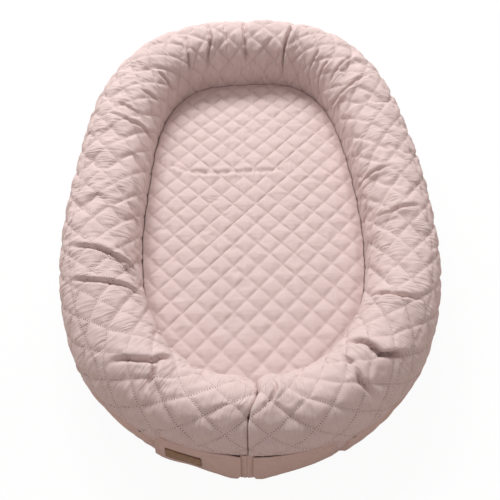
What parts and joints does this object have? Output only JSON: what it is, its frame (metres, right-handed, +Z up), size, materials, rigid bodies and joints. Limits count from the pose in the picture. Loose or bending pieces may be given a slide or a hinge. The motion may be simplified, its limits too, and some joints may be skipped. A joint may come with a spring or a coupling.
{
  "type": "infant lounger",
  "caption": "Oval infant lounger: a stuffed, quilted roll round a loose quilted pad, closed at the foot with hidden zips.",
  "frame": {"origin": "on the floor, at the middle of the overall length and width", "axes": "+Z up, +Y towards the head end, -Y towards the foot where the roll's ends meet, +X to the right seen from the foot"},
  "size_m": [0.596, 0.8919, 0.1253],
  "materials": {
    "quilted_cotton": "matt dusty-pink quilted cotton",
    "plain_cotton": "matt dusty-pink plain cotton",
    "fibre_filling": "white stuffed liner",
    "foam": "open-cell foam",
    "leather": "bare brown leather",
    "zip_tape": "woven tape with a nylon coil",
    "zip_metal": "satin"
  },
  "bodies": {
    "nest": {"base_panel": "plain_cotton", "inner_roll": "fibre_filling", "cover_top_panel": "quilted_cotton", "cover_side_panel": "quilted_cotton", "cover_lower_strip": "plain_cotton", "foot_gusset": "plain_cotton", "label_patch": "leather", "roll_end_cap_left": "quilted_cotton", "foot_band_left": "plain_cotton", "zip_upper_tape_left": "zip_tape", "zip_lower_tape_left": "zip_tape", "zip_inner_stop_left": "zip_metal", "zip_outer_stop_left": "zip_metal", "roll_end_cap_right": "quilted_cotton", "foot_band_right": "plain_cotton", "zip_upper_tape_right": "zip_tape", "zip_lower_tape_right": "zip_tape", "zip_inner_stop_right": "zip_metal", "zip_outer_stop_right": "zip_metal"},
    "pad": {"pad_upper_cover": "quilted_cotton", "pad_foam": "foam", "pad_lower_cover": "plain_cotton"},
    "slider_left": {"zip_slider_left": "zip_metal"},
    "slider_right": {"zip_slider_right": "zip_metal"}
  },
  "joints": [
    {"name": "pad_lift", "type": "slide", "parent": "nest", "child": "pad", "axis": [0, 0, 1], "range_m": [0, 0.15]},
    {"name": "zip_left", "type": "hinge", "parent": "nest", "child": "slider_left", "pos_m": [0, -0.1436, 0], "axis": [0, 0, -1], "range_deg": [0, 15.5]},
    {"name": "zip_right", "type": "hinge", "parent": "nest", "child": "slider_right", "pos_m": [0, -0.1436, 0], "axis": [0, 0, 1], "range_deg": [0, 15.5]}
  ]
}
